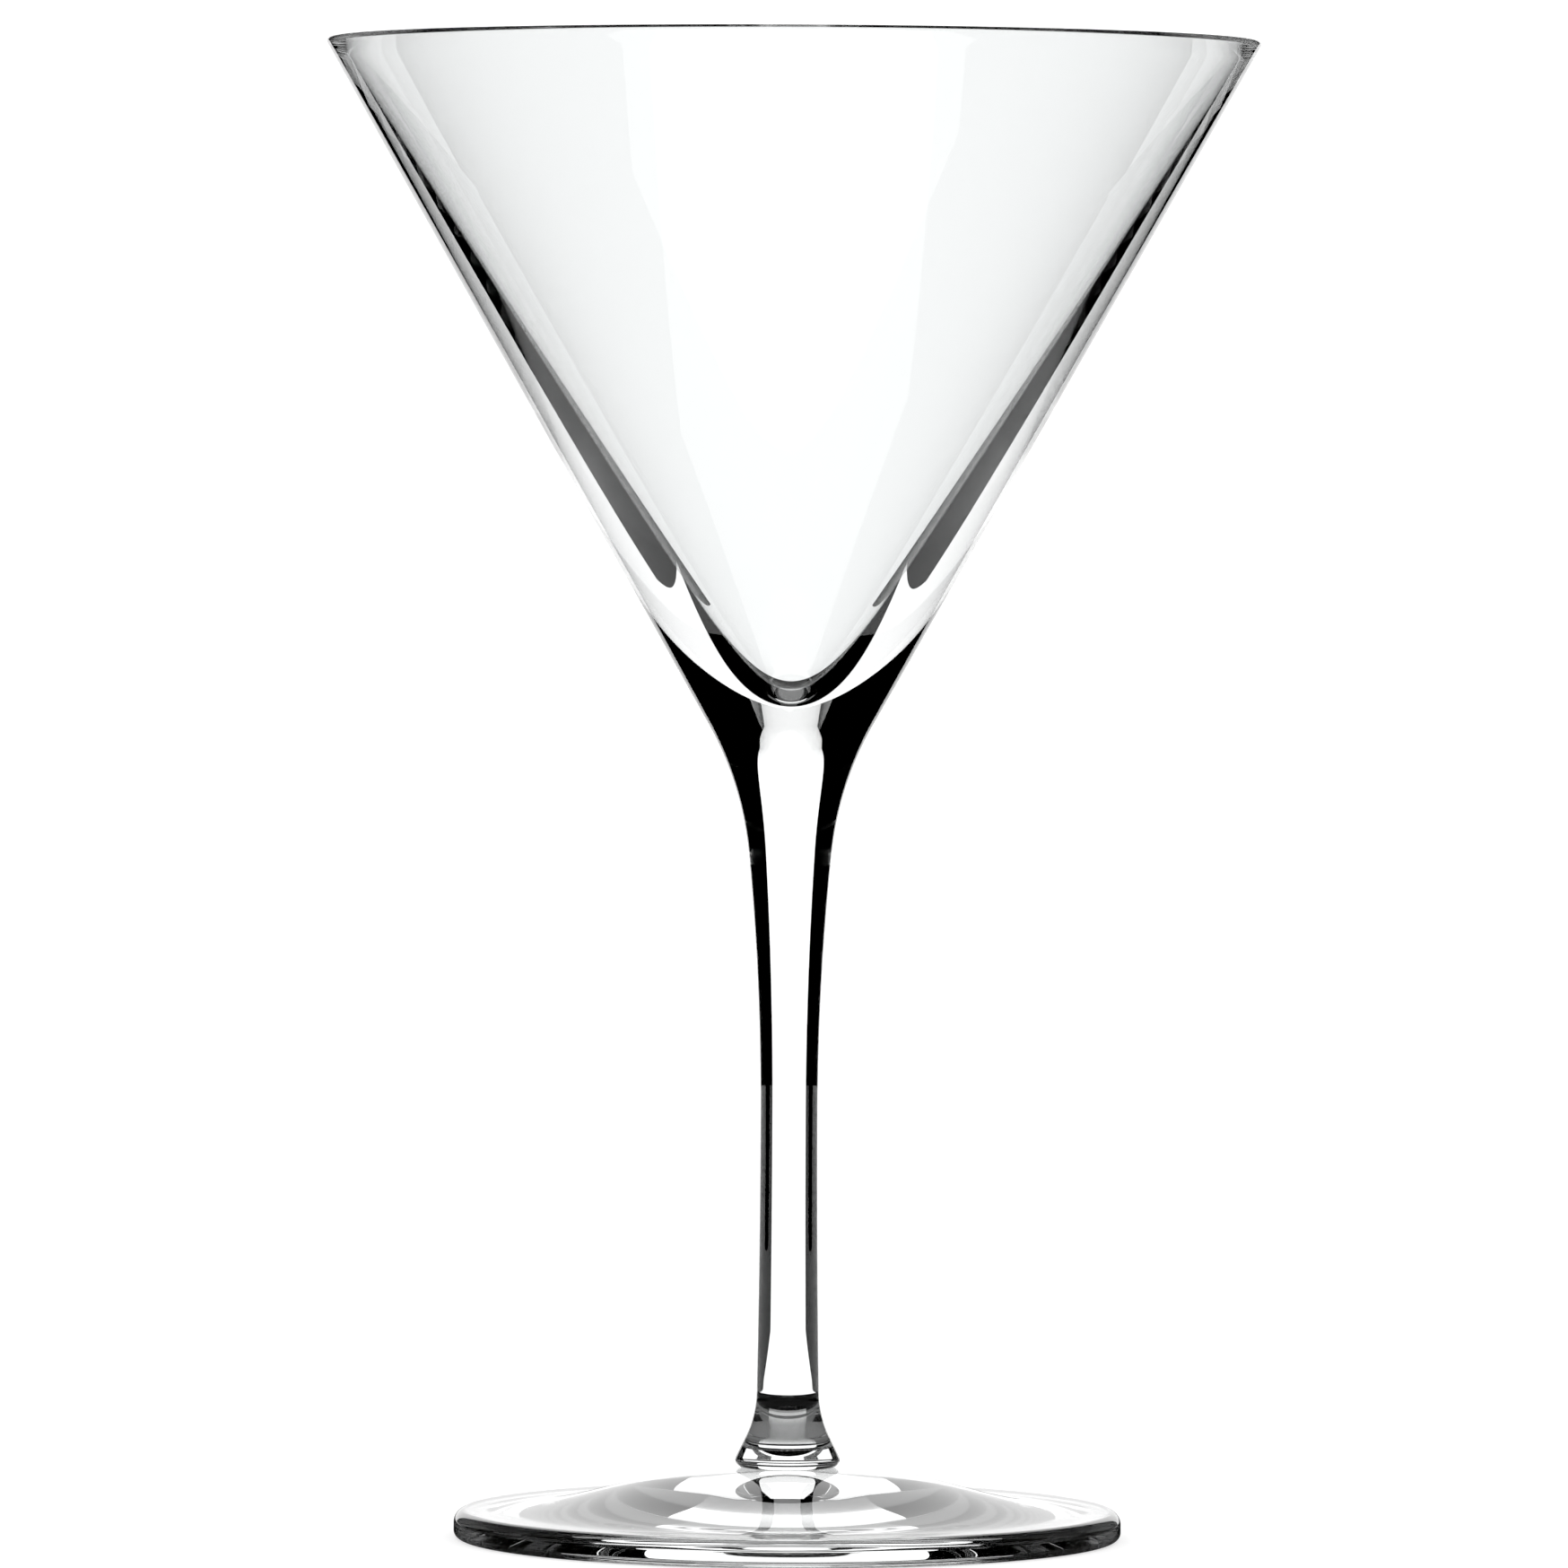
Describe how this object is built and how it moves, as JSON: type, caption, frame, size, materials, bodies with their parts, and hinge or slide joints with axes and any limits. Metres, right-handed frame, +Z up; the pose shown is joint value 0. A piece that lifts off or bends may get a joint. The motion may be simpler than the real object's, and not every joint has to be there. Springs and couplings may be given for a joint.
{
  "type": "martini glass",
  "caption": "Stemmed cocktail glass: a straight conical bowl on a slim drawn stem with a flared head, a small merese and a thin round foot, all in clear glass.",
  "frame": {"origin": "centre of the foot's flat standing ring, on the table", "axes": "+Z up along the glass's axis of revolution, from the foot to the rim; +X and +Y are any two directions square to it, because the glass is round"},
  "size_m": [0.109, 0.109, 0.175],
  "materials": {
    "bowl_glass": "clear, blown and fire-polished",
    "stem_glass": "clear, drawn and fire-polished",
    "merese_glass": "clear, fire-polished",
    "foot_glass": "clear, pressed and fire-polished"
  },
  "bodies": {
    "root": {"bowl": "bowl_glass", "stem": "stem_glass", "merese": "merese_glass", "foot": "foot_glass"}
  },
  "joints": []
}
